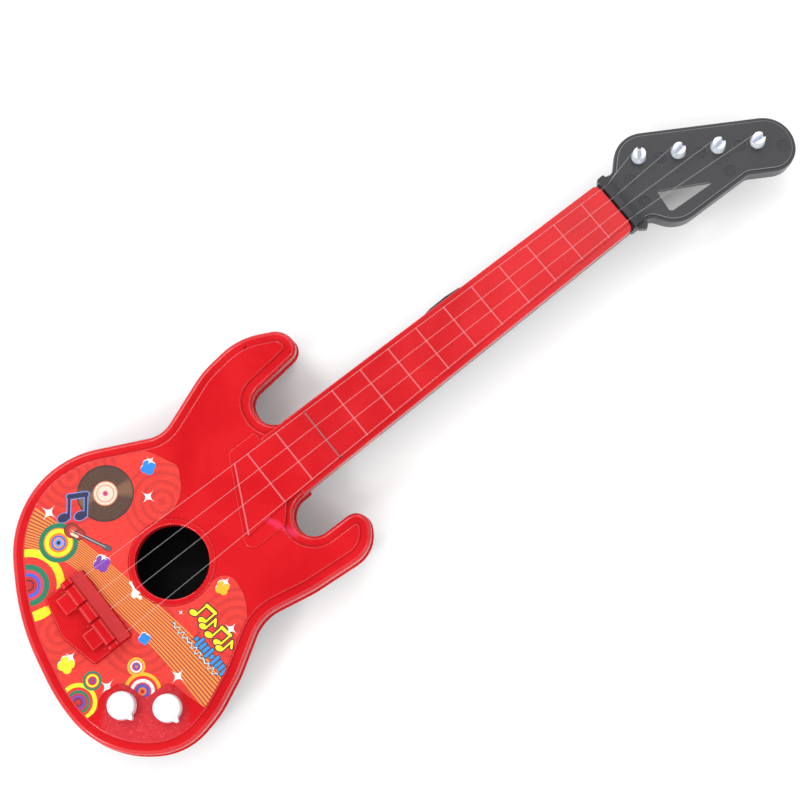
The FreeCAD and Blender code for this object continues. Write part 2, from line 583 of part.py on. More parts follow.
def peg_key(x, y, slot_angle):
    """Thumb key behind the headstock, with the stem that presses into the post."""
    hub_top = PEG_TUBE_BOTTOM_Z - 0.15
    hub = disc(x, y, 4.4, hub_top - 3.4, hub_top)
    hub = round_level(hub, hub_top - 3.4, 0.8)
    stem = disc(x, y, PEG_STEM_RADIUS, hub_top - 1, POST_BASE_Z)
    spigot = disc(x, y, SOCKET_RADIUS, POST_BASE_Z - 1, POST_BASE_Z + 2.6)
    half_width = 8.0
    half_thick = 1.4
    height = hub_top - 2.5 - KEY_BOTTOM_Z
    outline = [(-4.0, 0.0, 1.0), (4.0, 0.0, 1.0), (half_width, height * 0.5, 4.0), (half_width, height, 5.0),
               (-half_width, height, 5.0), (-half_width, height * 0.5, 4.0)]
    wing_wire = path_wire(outline, 0.0, lambda p: V(x + p.x, y - half_thick, hub_top - 2.5 - p.y))
    wing = Part.Face(wing_wire).extrude(V(0, 2 * half_thick, 0))
    rounded = [e for e in wing.Edges if e.BoundBox.YLength < 0.01 and e.BoundBox.ZMax < hub_top - 3.5]
    wing = wing.makeFillet(0.9, rounded)
    key = joined([hub, stem, spigot, wing])
    key.rotate(V(x, y, 0), V(0, 0, 1), slot_angle)
    return key


WINDING_RADIUS = POST_RADIUS + STRING_RADIUS + 0.03
WINDING_TURNS = 3
WINDING_PITCH = 2 * STRING_RADIUS + 0.04


def string_winding(x, y):
    """The turns of string that lie on one post."""
    top = STRING_Z_POST - 2 * STRING_RADIUS - 0.16
    heights = [top - i * WINDING_PITCH for i in range(WINDING_TURNS)]
    return Part.makeCompound([Part.makeTorus(WINDING_RADIUS, STRING_RADIUS, V(x, y, z)) for z in heights])


# ---- strings -------------------------------------------------------------------------------------
def post_touch(x, y, start_x, start_y):
    """Where a line from the nut meets the post's +y side."""
    radius = POST_RADIUS + STRING_RADIUS + 0.15
    dx, dy = x - start_x, y - start_y
    distance = math.hypot(dx, dy)
    angle = math.atan2(dy, dx) + math.asin(radius / distance)
    run = math.sqrt(distance ** 2 - radius ** 2)
    return start_x + run * math.cos(angle), start_y + run * math.sin(angle)


def string(number):
    """One taut string: knot behind the saddle, over the nut, to its post."""
    y_bridge = STRING_Y_BRIDGE[number]
    y_nut = STRING_Y_NUT[number]
    peg_x, peg_y = PEG_PLACES[number]
    nut_x = 282.2
    touch_x, touch_y = post_touch(peg_x, peg_y, nut_x, y_nut)
    knot_x = SADDLE_BACK_X - 1.0
    points = [V(knot_x, y_bridge, STRING_Z_BRIDGE), V(SADDLE_RIDGE_X, y_bridge, STRING_Z_BRIDGE),
              V(nut_x, y_nut, STRING_Z_NUT), V(touch_x, touch_y, STRING_Z_POST)]
    bend = 2.0
    edges = []
    at = points[0]
    for before, corner, after in zip(points, points[1:], points[2:]):
        arrive = (corner - before).normalize()
        depart = (after - corner).normalize()
        start = corner - arrive * bend
        end = corner + depart * bend
        turn = arrive.getAngle(depart)
        sagitta = bend * math.tan(turn / 4)
        inward = (depart - arrive).normalize()
        middle = (start + end) * 0.5 - inward * sagitta * math.cos(turn / 2)
        edges.append(Part.LineSegment(at, start).toShape())
        edges.append(Part.Arc(start, middle, end).toShape())
        at = end
    edges.append(Part.LineSegment(at, points[-1]).toShape())
    wire = Part.Wire(edges)
    circle = Part.Wire(Part.Circle(points[0], V(1, 0, 0), STRING_RADIUS).toShape())
    tube = wire.makePipeShell([circle], True, False)
    knot = Part.makeSphere(0.95, points[0] - V(0.5, 0, 0))
    print("string %d length %.1f mm" % (number + 1, wire.Length))
    return tube.fuse(knot)


# ---- write ---------------------------------------------------------------------------------------
os.makedirs("parts", exist_ok=True)
save("front_shell", front_shell())
save("back_shell", back_shell())
save("nut", nut())
save("bridge", bridge())
save("bridge_screws", bridge_screws())
save("body_screws", body_screws())
save("neck_screws", neck_screws())
save("front_label", front_label())
for knob_name, (knob_x, knob_y) in KNOB_PLACES.items():
    save(knob_name, knob(knob_x, knob_y))
    save(knob_name + "_washer", knob_washer(knob_x, knob_y))
    save(knob_name + "_screw", knob_screw(knob_x, knob_y))
for index, (peg_x, peg_y) in enumerate(PEG_PLACES):
    save("peg_post_%d" % (index + 1), peg_post(peg_x, peg_y, SLOT_ANGLES[index]))
    save("peg_key_%d" % (index + 1), peg_key(peg_x, peg_y, SLOT_ANGLES[index]))
    save("string_winding_%d" % (index + 1), string_winding(peg_x, peg_y))
    save("string_%d" % (index + 1), string(index))
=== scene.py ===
import math

import bpy
from mathutils import Matrix, Vector


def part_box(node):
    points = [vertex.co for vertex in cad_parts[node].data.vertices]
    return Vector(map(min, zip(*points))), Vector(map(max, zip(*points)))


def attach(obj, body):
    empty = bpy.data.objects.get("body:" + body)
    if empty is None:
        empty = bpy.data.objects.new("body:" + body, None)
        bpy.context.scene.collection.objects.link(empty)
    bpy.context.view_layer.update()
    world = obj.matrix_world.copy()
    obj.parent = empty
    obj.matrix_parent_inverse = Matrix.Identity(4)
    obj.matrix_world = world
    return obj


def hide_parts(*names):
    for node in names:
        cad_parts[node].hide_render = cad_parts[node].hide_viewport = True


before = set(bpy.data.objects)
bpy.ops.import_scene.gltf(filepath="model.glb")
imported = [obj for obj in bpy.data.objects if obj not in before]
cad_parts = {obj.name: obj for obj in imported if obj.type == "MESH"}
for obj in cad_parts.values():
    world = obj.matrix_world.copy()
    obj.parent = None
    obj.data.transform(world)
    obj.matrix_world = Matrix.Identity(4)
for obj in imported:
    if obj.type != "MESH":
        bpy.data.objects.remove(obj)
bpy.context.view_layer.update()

# The looks of a toy guitar that lies on its back.  Metres, in the CAD model's own frame; patterns
# are worked out in millimetres.
MM = 0.001
PER_METRE = 1000.0


# ---- colour --------------------------------------------------------------------------------------
def linear(level):
    """A screen level from 0 to 255 as an amount of light from 0 to 1."""
    share = level / 255
    return share / 12.92 if share <= 0.04045 else ((share + 0.055) / 1.055) ** 2.4


def rgb(red, green, blue, alpha=1.0):
    """A colour given as screen levels from 0 to 255."""
    return (linear(red), linear(green), linear(blue), alpha)


# ---- shader nodes --------------------------------------------------------------------------------
class Amount:
    """One number at each point of a surface, with arithmetic that makes shader nodes."""

    def __init__(self, paint, socket):
        self.paint = paint
        self.socket = socket

    def do(self, operation, *others):
        return self.paint.math(operation, self, *others)

    def __add__(self, other):
        return self.do("ADD", other)

    def __sub__(self, other):
        return self.do("SUBTRACT", other)

    def __mul__(self, other):
        return self.do("MULTIPLY", other)

    def __truediv__(self, other):
        return self.do("DIVIDE", other)

    def below(self, other):
        """1 where this is less than the other, else 0."""
        return self.do("LESS_THAN", other)

    def above(self, other):
        return self.do("GREATER_THAN", other)

    def absolute(self):
        return self.do("ABSOLUTE")

    def least(self, other):
        """The smaller of the two, which joins two shapes given by their distances."""
        return self.do("MINIMUM", other)

    def most(self, other):
        return self.do("MAXIMUM", other)


class Paint:
    """One material, with short forms for the shader nodes used here."""

    def __init__(self, name, **settings):
        self.material = bpy.data.materials.new(name)
        self.material.use_nodes = True
        self.tree = self.material.node_tree
        self.skin = self.tree.nodes["Principled BSDF"]
        for setting, value in settings.items():
            self.skin.inputs[setting.replace("_", " ")].default_value = value
        self.metres = self.tree.nodes.new("ShaderNodeTexCoord").outputs["Object"]
        self.place = self.vector("SCALE", self.metres, Scale=PER_METRE)

    def put(self, socket, value):
        """Give an input socket a constant, or link it to an amount or another node's output."""
        if isinstance(value, Amount):
            value = value.socket
        if isinstance(value, bpy.types.NodeSocket):
            self.tree.links.new(value, socket)
        else:
            socket.default_value = value

    def set(self, name, value):
        self.put(self.skin.inputs[name], value)

    def math(self, operation, *values):
        node = self.tree.nodes.new("ShaderNodeMath")
        node.operation = operation
        for socket, value in zip(node.inputs, values):
            self.put(socket, value)
        return Amount(self, node.outputs[0])

    def vector(self, operation, first, second=None, **named):
        node = self.tree.nodes.new("ShaderNodeVectorMath")
        node.operation = operation
        self.put(node.inputs[0], first)
        if second is not None:
            self.put(node.inputs[1], second)
        for name, value in named.items():
            self.put(node.inputs[name], value)
        return node.outputs["Vector"]

    def length(self, vector):
        node = self.tree.nodes.new("ShaderNodeVectorMath")
        node.operation = "LENGTH"
        self.put(node.inputs[0], vector)
        return Amount(self, node.outputs["Value"])

    def parts(self, vector):
        node = self.tree.nodes.new("ShaderNodeSeparateXYZ")
        self.put(node.inputs[0], vector)
        return [Amount(self, socket) for socket in node.outputs]

    def point(self, x, y, z=0.0):
        node = self.tree.nodes.new("ShaderNodeCombineXYZ")
        for socket, value in zip(node.inputs, (x, y, z)):
            self.put(socket, value)
        return node.outputs[0]

    def mapped(self, vector, at=(0, 0, 0), turn=0.0, scale=(1, 1, 1)):
        """vector seen from a local frame at a point, turned about z by degrees, then scaled."""
        moved = self.vector("SUBTRACT", vector, at)
        node = self.tree.nodes.new("ShaderNodeMapping")
        node.vector_type = "POINT"
        self.put(node.inputs["Vector"], moved)
        node.inputs["Rotation"].default_value = (0, 0, math.radians(-turn))
        turned = node.outputs[0]
        return self.vector("MULTIPLY", turned, scale) if scale != (1, 1, 1) else turned

    def noise(self, scale, detail=2.0, rough=0.5, warp=0.0, vector=None):
        """Noise from 0 to 1; scale is in cycles per millimetre."""
        node = self.tree.nodes.new("ShaderNodeTexNoise")
        self.put(node.inputs["Vector"], self.place if vector is None else vector)
        node.inputs["Scale"].default_value = scale
        node.inputs["Detail"].default_value = detail
        node.inputs["Roughness"].default_value = rough
        node.inputs["Distortion"].default_value = warp
        return Amount(self, node.outputs["Fac"])

    def cells(self, scale):
        """Distance to the nearest of scattered points, in cell widths; scale is cells per millimetre."""
        node = self.tree.nodes.new("ShaderNodeTexVoronoi")
        self.put(node.inputs["Vector"], self.place)
        node.inputs["Scale"].default_value = scale
        return Amount(self, node.outputs["Distance"])

    def fade(self, value, start, end, low=0.0, high=1.0):
        """low where value is at start, high where it is at end, and smooth between."""
        node = self.tree.nodes.new("ShaderNodeMapRange")
        node.interpolation_type = "SMOOTHSTEP"
        self.put(node.inputs["Value"], value)
        for name, number in zip(("From Min", "From Max", "To Min", "To Max"), (start, end, low, high)):
            node.inputs[name].default_value = number
        return Amount(self, node.outputs["Result"])

    def between(self, value, start, full, last, end):
        """1 where value is between full and last, and fading to 0 at start and end."""
        return self.fade(value, start, full) * self.fade(value, end, last)

    def mix(self, share, first, second):
        """A colour that is first where share is 0 and second where it is 1."""
        node = self.tree.nodes.new("ShaderNodeMix")
        node.data_type = "RGBA"
        self.put(node.inputs["Factor"], share)
        self.put(node.inputs[6], first)
        self.put(node.inputs[7], second)
        return node.outputs[2]

    def steps(self, value, stops):
        """Colour and alpha in bands, from a list of (where the band starts, colour)."""
        node = self.tree.nodes.new("ShaderNodeValToRGB")
        ramp = node.color_ramp
        ramp.interpolation = "CONSTANT"
        while len(ramp.elements) < len(stops):
            ramp.elements.new(0.5)
        for element, (position, colour) in zip(ramp.elements, stops):
            element.position = position
            element.color = colour
        self.put(node.inputs["Fac"], value)
        return node.outputs["Color"], Amount(self, node.outputs["Alpha"])

    def bump(self, *layers):
        """Raise the surface by layers of (pattern from 0 to 1, millimetres where it is 1)."""
        normal = None
        for height, depth in layers:
            node = self.tree.nodes.new("ShaderNodeBump")
            node.inputs["Distance"].default_value = depth * MM
            self.put(node.inputs["Height"], height)
            if normal is not None:
                self.put(node.inputs["Normal"], normal)
            normal = node.outputs["Normal"]
        self.set("Normal", normal)


def scratches(paint, turn, pitch=0.9):
    """Sparse hairlines, about 1 on the line and 0 elsewhere."""
    stretched = paint.mapped(paint.place, turn=turn, scale=(0.035, pitch, pitch))
    line = paint.noise(1.0, 3.0, 0.6, 0.4, stretched)
    patch = paint.noise(0.03, 2.0)
    return paint.fade(line, 0.68, 0.76) * paint.fade(patch, 0.5, 0.65)


def dust(paint, spacing, radius):
    """Small round specks in patches: 1 on a speck and 0 elsewhere."""
    apart = paint.cells(1 / spacing)
    patch = paint.noise(0.21, 1.0)
    return apart.below(radius / spacing) * patch.above(0.6)


# ---- artwork -------------------------------------------------------------------------------------
# Places are in millimetres from the label's middle, on the label and on the red face round it.
label_low, label_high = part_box("front_label")
LABEL_CENTRE = (label_low + label_high) / 2
ART_ORIGIN = (LABEL_CENTRE.x * PER_METRE, LABEL_CENTRE.y * PER_METRE, 0)


def art_place(paint):
    """Position in millimetres from the label's middle, seen from above."""
    x, y, _ = paint.parts(paint.vector("SUBTRACT", paint.place, ART_ORIGIN))
    return paint.point(x, y)


class Artwork:
    """Flat shapes laid over each other; each call adds one on top."""

    def __init__(self, paint, colour):
        self.paint = paint
        self.at = art_place(paint)
        self.colour = colour

    def lay(self, mask, colour):
        self.colour = self.paint.mix(mask, self.colour, colour)

    def outlined(self, distance, colour, edge, width):
        """A shape given by its distance, which is negative inside, with an edge of that width."""
        self.lay(distance.below(width), edge)
        self.lay(distance.below(0.0), colour)

    def local(self, x, y, turn=0.0):
        """Position seen from x, y, with the axes turned by degrees."""
        return self.paint.mapped(self.at, (x, y, 0), turn)

    def circle(self, place, x, y, radius, flat=1.0, turn=0.0):
        """Distance to a circle, or to an oval that is flat times as high as wide."""
        seen = self.paint.mapped(place, (x, y, 0), turn, (1, 1 / flat, 1))
        return self.paint.length(seen) - radius

    def bar(self, place, start, end, radius):
        """Distance to a round-ended bar."""
        along = Vector((end[0] - start[0], end[1] - start[1], 0))
        turn = math.degrees(math.atan2(along.y, along.x))
        x, y, _ = self.paint.parts(self.paint.mapped(place, (*start, 0), turn))
        past = x - x.most(0.0).least(along.length)
        return self.paint.length(self.paint.point(past, y)) - radius

    def note(self, place, size, beamed):
        """Distance to a music note that stands up along y, its first head at the origin."""
        head = size * 0.22
        flat = 0.72
        lean = 22.0
        shapes = [self.circle(place, 0, 0, head, flat, lean)]
        stem_x = head * 0.86
        stem_top = size * 0.78
        thin = size * 0.05
        shapes.append(self.bar(place, (stem_x, 0), (stem_x, stem_top), thin))
        if beamed:
            step = size * 0.62
            rise = size * 0.08
            other_x = stem_x + step
            other_top = stem_top * 1.1
            shapes.append(self.circle(place, step, rise, head, flat, lean))
            shapes.append(self.bar(place, (other_x, rise), (other_x, other_top), thin))
            shapes.append(self.bar(place, (stem_x, stem_top), (other_x, other_top), size * 0.09))
        else:
            tail = (stem_x + size * 0.26, stem_top * 0.66)
            shapes.append(self.bar(place, (stem_x, stem_top), tail, size * 0.07))
        joined = shapes[0]
        for shape in shapes[1:]:
            joined = joined.least(shape)
        return joined


def torn_spot(art):
    """Distance to the ragged spot of bare paper beside the sound hole."""
    spot = art.bar(art.at, (2.4, 4.6), (1.2, -1.0), 0.8)
    spot = spot.least(art.circle(art.at, 0.2, -2.6, 2.8, 0.8, 30.0))
    spot = spot.least(art.bar(art.at, (0.4, -3.4), (1.4, -6.6), 1.0))
    spot = spot.least(art.bar(art.at, (0.8, -3.0), (3.6, -3.6), 0.9))
    return spot + art.paint.noise(0.9, 2.0) * 1.2 - 0.6


# ---- moulded red plastic -------------------------------------------------------------------------
RED = rgb(201, 20, 28)
RED_DEEP = rgb(188, 12, 22)
RED_SCUFFED = rgb(214, 74, 84)
BARE_PAPER = rgb(244, 240, 238)

# the scuffed field round the knobs, a pink smear beside the neck's foot and a dark nick
KNOB_FIELD_CENTRE = (-40.0, -66.0)
KNOB_FIELD_REACH = (27.0, 25.0)
KNOB_FIELD_TURN = -25.0
SMEAR = ((92.2, -18.0), (99.6, -34.6))
NICK = ((145.9, 78.0), (147.5, 78.5))

# heights above the floor: the face under the label, and the fingerboard between its frets
FACE_Z = 34.0
BOARD_Z = 36.4

# in the frame, along x: the fret that a clear tie lies along, the stretch in which the neck
# turns duller, and a line between the bridge and the frets
TIED_FRET_X = -62.4
NECK_DULL_X = (-110.0, -60.0)
FRETS_FROM_X = -200.0

# across it, along y: the neck's middle, and how far out the tie's ends are
NECK_AXIS_Y = 5.4
TIE_END_Y = 18.7


def make_red():
    paint = Paint("red_plastic_moulded", IOR=1.49)
    flow = paint.noise(0.018, 3.0, 0.55, 0.8)
    peel = paint.noise(0.55, 2.0)
    sink = paint.noise(0.035, 1.0)
    grain = paint.noise(1.6, 3.0, 0.7)
    lines = scratches(paint, 24.0).most(scratches(paint, -51.0, 1.3))
    specks = dust(paint, 9.0, 0.16)
    x, y, height = paint.parts(paint.place)
    art = Artwork(paint, paint.mix(paint.fade(flow, 0.3, 0.7), RED_DEEP, RED))

    field = art.local(*KNOB_FIELD_CENTRE, KNOB_FIELD_TURN)
    field = paint.vector("DIVIDE", field, (*KNOB_FIELD_REACH, 1))
    on_face = paint.between(height - FACE_Z, -0.3, -0.05, 0.1, 0.3)
    frosted = paint.fade(paint.length(field) + paint.noise(0.12, 3.0, 0.6) * 0.5, 1.35, 1.1) * on_face
    speckle = frosted * paint.fade(paint.noise(0.55, 4.0, 0.75), 0.5, 0.66)
    art.lay(frosted * 0.35, rgb(178, 10, 40))
    art.lay((speckle * 0.55).most(lines * 0.22).most(specks * 0.75), RED_SCUFFED)

    smear = art.bar(art.at, *SMEAR, 1.0) + paint.noise(0.2, 3.0, 0.6) * 6.0
    art.lay(paint.fade(smear, 5.2, 2.2) * 0.5, rgb(226, 60, 104))
    art.lay(art.bar(art.at, *NICK, 0.6).below(0.0) * 0.7, rgb(60, 8, 12))

    above_board = height - BOARD_Z
    # painted highlight: the tops of the frets are painted paler, where light catches the raised ridges
    fret_highlight = paint.fade(above_board, 0.32, 0.46) * x.above(FRETS_FROM_X)
    art.lay(fret_highlight * 0.38, rgb(232, 140, 148))
    along = (x - TIED_FRET_X).absolute()
    across = (y - NECK_AXIS_Y).absolute()
    art.lay(along.below(0.55) * above_board.above(0.1) * 0.55, rgb(84, 62, 68))
    dots = paint.length(paint.point(along, across - TIE_END_Y)).below(1.1)
    art.lay(dots * above_board.above(-0.4) * 0.9, rgb(40, 20, 24))
    art.lay(torn_spot(art).below(0.0) * on_face, BARE_PAPER)

    paint.set("Base Color", art.colour)
    on_board = paint.fade(above_board, -1.4, -0.4) * paint.fade(x, *NECK_DULL_X)
    rough = paint.fade(flow, 0.25, 0.75, 0.12, 0.2)
    paint.set("Roughness", rough + on_board * 0.12 + lines * 0.15 + frosted * 0.25)
    paint.bump((sink, 0.06), (peel, 0.012), (grain * frosted, 0.09), (lines, -0.015))
    return paint.material


# ---- dark back moulding --------------------------------------------------------------------------
# heights above the floor: the back's inner face, and the headstock's face and the marks sunk in it
INNER_FLOOR_Z = 2.0
HEAD_FACE_Z = 32.4
MARK_FLOOR_Z = 31.9


def make_charcoal():
    paint = Paint("charcoal_plastic_moulded", IOR=1.5)
    flow = paint.noise(0.02, 3.0, 0.6, 1.2)
    peel = paint.noise(0.8, 3.0, 0.6)
    texture = paint.noise(2.4, 2.0, 0.7)
    rubs = scratches(paint, 12.0).most(scratches(paint, 70.0, 1.4))
    specks = dust(paint, 7.0, 0.14)
    colour = paint.mix(flow, rgb(43, 43, 47), rgb(58, 58, 61))
    colour = paint.mix((rubs * 0.35).most(specks * 0.4), colour, rgb(112, 114, 118))
    height = paint.parts(paint.place)[2]
    # painted shade: round the back's inner face the colour goes near black and the gloss drops, standing
    # in for the shade inside the closed body under the sound hole
    inside = paint.between(height - INNER_FLOOR_Z, -0.5, -0.1, 1.0, 3.0)
    colour = paint.mix(inside * 0.95, colour, rgb(8, 8, 9))
    # painted shade: the floors of the marks sunk in the headstock's face are darkened
    sunk = paint.between(height - MARK_FLOOR_Z, -0.06, -0.02, 0.02, 0.06)
    colour = paint.mix(sunk * 0.4, colour, rgb(30, 30, 33))
    # painted highlight: a light line on the step just under the headstock's face, where its edge catches
    # the light
    edge = paint.between(height - HEAD_FACE_Z, -0.38, -0.28, -0.07, -0.01)
    colour = paint.mix(edge * 0.8, colour, rgb(150, 152, 158))
    paint.set("Base Color", colour)
    paint.set("Roughness", paint.fade(flow, 0.3, 0.7, 0.28, 0.4) + rubs * 0.12)
    paint.set("Specular IOR Level", paint.fade(inside, 0.0, 1.0, 0.5, 0.1))
    paint.bump((flow, 0.12), (peel, 0.02), (texture, 0.012))
    return paint.material


# ---- white plastic -------------------------------------------------------------------------------
def make_white(name, dull, bright):
    paint = Paint(name, IOR=1.5, Subsurface_Weight=0.12, Subsurface_Scale=0.002)
    flow = paint.noise(0.07, 2.0)
    peel = paint.noise(0.7, 2.0)
    rubs = scratches(paint, 35.0, 1.1)
    grime = paint.fade(paint.noise(0.3, 3.0, 0.65), 0.62, 0.8)
    colour = paint.mix(flow, dull, bright)
    colour = paint.mix((grime * 0.25).most(rubs * 0.2), colour, rgb(206, 206, 210))
    paint.set("Base Color", colour)
    paint.set("Roughness", paint.fade(flow, 0.2, 0.8, 0.24, 0.34) + rubs * 0.15)
    paint.bump((flow, 0.06), (peel, 0.012))
    return paint.material


# ---- nylon and steel -----------------------------------------------------------------------------
# behind the bridge's front edge, the clear line shows the red under it
BRIDGE_FRONT_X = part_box("bridge")[1].x * PER_METRE


def make_nylon():
    paint = Paint("nylon_line", IOR=1.53, Alpha=0.11)
    streak = paint.noise(0.5, 2.0)
    clear = paint.mix(streak, rgb(205, 205, 205), rgb(226, 226, 226))
    x = paint.parts(paint.place)[0]
    paint.set("Base Color", paint.mix(x.below(BRIDGE_FRONT_X), clear, rgb(196, 60, 66)))
    paint.set("Roughness", paint.fade(streak, 0.2, 0.8, 0.2, 0.34))
    return paint.material


def make_steel():
    paint = Paint("zinc_plated_steel", Metallic=1.0)
    blotch = paint.noise(0.35, 3.0, 0.6)
    turned = paint.noise(3.0, 2.0)
    paint.set("Base Color", paint.mix(blotch, rgb(150, 150, 146), rgb(196, 197, 200)))
    paint.set("Roughness", paint.fade(blotch, 0.3, 0.7, 0.28, 0.45))
    paint.bump((turned, 0.02))
    return paint.material


# ---- printed label -------------------------------------------------------------------------------
GROUND = rgb(234, 40, 30)
GROUND_DARK = rgb(180, 10, 18)
YELLOW = rgb(255, 236, 20)
GOLD = rgb(255, 190, 20)
GREEN = rgb(0, 128, 92)
BLUE = rgb(60, 100, 225)
SKY = rgb(22, 140, 240)
PURPLE = rgb(130, 60, 175)
WHITE = rgb(250, 246, 244)
ORANGE = rgb(255, 128, 24)
CRIMSON = rgb(205, 24, 30)
INK = rgb(40, 26, 24)
NAVY = rgb(30, 34, 78)
BROWN = rgb(88, 56, 40)
CREAM = rgb(252, 222, 200)
GREY = rgb(92, 92, 98)
CLEAR = (0.0, 0.0, 0.0, 0.0)

# faint rings: x, y, outer radius
SWIRLS = [(-50.7, 7.8, 27), (-12.9, -24.6, 25), (36.8, -57.9, 25), (47.5, 32.7, 24), (11.7, 80.6, 30)]
SWIRL_PITCH = 5.5

# a striped band between two curves: (y, x of the band's left edge, x of its right edge)
STRIPE_EDGES = [
    (-95.0, -8.5, 20.0), (-62.0, -9.0, 15.0), (-30.0, -11.5, 10.0), (0.0, -15.5, 3.8),
    (30.0, -18.5, -2.5), (52.0, -28.0, -8.0), (70.0, -42.0, -13.5), (90.0, -66.0, -20.0),
]
STRIPE_COUNT = 12.5
STRIPE_BANDS = [
    (0.0, rgb(255, 150, 66)), (0.52, rgb(196, 66, 28)), (0.64, rgb(170, 52, 26)), (0.9, rgb(226, 100, 44)),
]

# targets: x, y, rings from the middle out as (outer radius, colour)
TARGETS = [
    (-48.2, 42.4, [(2.7, CRIMSON), (3.5, INK), (5.5, CRIMSON), (7.5, BLUE), (9.5, rgb(225, 60, 90)),
                   (13.0, GREEN), (17.5, GROUND), (22.5, YELLOW)]),
    (-18.0, 52.0, [(1.2, NAVY), (2.6, rgb(120, 160, 240)), (3.5, rgb(240, 150, 60)), (4.6, BLUE),
                   (6.0, ORANGE), (8.6, YELLOW), (9.2, ORANGE), (12.2, GREEN)]),
    (-66.2, -33.7, [(1.6, CRIMSON), (2.8, rgb(120, 30, 40)), (4.4, PURPLE), (5.4, CRIMSON), (7.2, GREEN),
                    (9.0, GROUND), (11.6, YELLOW)]),
    (-51.7, -28.7, [(0.9, CRIMSON), (1.8, PURPLE), (2.7, CRIMSON), (4.0, YELLOW), (4.6, CRIMSON),
                    (5.9, GREEN)]),
    (-31.6, -52.8, [(1.3, CRIMSON), (2.5, ORANGE), (4.5, rgb(90, 80, 190)), (5.4, GROUND), (7.5, WHITE),
                    (9.4, GROUND), (11.5, GOLD)]),
    (-25.6, -38.5, [(0.8, ORANGE), (2.0, rgb(110, 80, 180)), (2.6, GROUND), (3.7, WHITE), (4.2, GROUND),
                    (5.5, GOLD)]),
]

# four-lobed blossoms: x, y, reach, turn in degrees, colour
BLOSSOMS = [
    (-58.7, -11.2, 5.6, 20.0, YELLOW), (-4.6, 24.9, 5.6, 25.0, PURPLE), (-11.6, -28.2, 3.9, 20.0, SKY),
    (53.5, 54.9, 5.0, 30.0, SKY), (44.5, -33.2, 4.7, 28.0, GOLD),
]

# four-pointed sparkles: x, y, reach
SPARKLES = [
    (-11.6, 70.9, 6.0), (-53.7, -9.0, 4.4), (-46.7, -37.2, 5.4), (-9.1, -58.8, 5.6), (42.5, 40.4, 5.2),
    (33.5, -56.3, 4.8), (48.5, -31.4, 3.6), (57.3, 57.5, 3.4), (15.5, -29.2, 2.0), (-1.6, 27.4, 3.0),
]
SPARKLE_TURN = 14.0

# yellow notes: x, y, size, whether it is a beamed pair
NOTE_ROW = [
    (21.5, -34.0, 11.5, True), (21.0, -44.2, 11.0, False), (20.6, -50.4, 11.5, True),
    (20.8, -61.0, 11.0, False),
]
NOTE_ROW_TURN = -87.0

# x, y and turn in degrees of the artwork that appears once, and its sizes
RECORD = (23.0, 58.6)
RECORD_RADIUS = 17.0
SMALL_GUITAR = (-5.6, 50.0, -64.0)
NAVY_NOTES = (-6.5, 62.5, -38.0)
NAVY_NOTES_SIZE = 17.0
LEVEL_BARS = (13.4, -46.5, -87.0)
LEVEL_BAR_PITCH = 2.9
LEVEL_BAR_COUNT = 10
SOUND_WAVE = (8.0, -31.0, -88.0)
SOUND_WAVE_LENGTH = 42.0
YELLOW_BLOCK = (-52.7, 23.9, -13.0)
YELLOW_BLOCK_HALF = (4.7, 2.9)
YELLOW_SLAB = ((-54.8, 25.2), (-50.2, 24.0))


def lay_swirls(art):
    for x, y, reach in SWIRLS:
        away = art.paint.length(art.local(x, y))
        wave = (away * (2 * math.pi / SWIRL_PITCH)).do("SINE")
        mask = art.paint.fade(wave, -0.1, 0.5) * away.below(reach)
        art.lay(mask * 0.38, GROUND_DARK)


def lay_stripes(art):
    paint = art.paint
    x, y, _ = paint.parts(art.at)
    low, high = STRIPE_EDGES[0][0], STRIPE_EDGES[-1][0]
    along = (y - low) / (high - low)
    # a float curve holds 0 to 1, so x goes in as x / reach + shift
    reach = 100.0
    shift = 0.75
    edges = []
    for column in (1, 2):
        node = paint.tree.nodes.new("ShaderNodeFloatCurve")
        curve = node.mapping.curves[0]
        while len(curve.points) < len(STRIPE_EDGES):
            curve.points.new(0.5, 0.5)
        for point, row in zip(curve.points, STRIPE_EDGES):
            point.location = ((row[0] - low) / (high - low), row[column] / reach + shift)
        node.mapping.update()
        paint.put(node.inputs["Value"], along)
        edges.append((Amount(paint, node.outputs["Value"]) - shift) * reach)
    across = (x - edges[0]) / (edges[1] - edges[0])
    inside = across.above(0.0) * across.below(1.0)
    stripe = (across * STRIPE_COUNT).do("FRACT")
    colour, _ = paint.steps(stripe, STRIPE_BANDS)
    art.lay(inside, colour)


def lay_target(art, x, y, rings):
    reach = rings[-1][0]
    away = art.paint.length(art.local(x, y)) / reach
    inner = [0.0] + [radius / reach for radius, _ in rings[:-1]]
    stops = [(start, colour) for start, (_, colour) in zip(inner, rings)] + [(1.0, CLEAR)]
    colour, alpha = art.paint.steps(away * 0.999, stops)
    art.lay(alpha * away.below(1.0), colour)


def lay_blossom(art, x, y, reach, turn, colour):
    lobe = reach * 0.5
    for shift, shade in (((0.3, 0.5), WHITE), ((0.0, 0.0), colour)):
        u, v, _ = art.paint.parts(art.local(x + shift[0], y + shift[1], turn))
        folded = art.paint.point(u.absolute(), v.absolute())
        petals = art.circle(folded, reach - lobe * 1.35, reach - lobe * 1.35, lobe)
        middle = art.circle(folded, 0, 0, reach * 0.55)
        art.lay(petals.least(middle).below(0.0), shade)


def lay_sparkle(art, x, y, reach):
    """A four-pointed star, thinner than an astroid, round a small disc."""
    u, v, _ = art.paint.parts(art.local(x, y, SPARKLE_TURN))
    arm = reach * 1.2
    spread = (u.absolute() / arm).do("POWER", 0.42) + (v.absolute() / arm).do("POWER", 0.42)
    art.lay(spread.below(1.0), WHITE)
    art.lay(art.circle(art.at, x, y, reach * 0.13).below(0.0), WHITE)


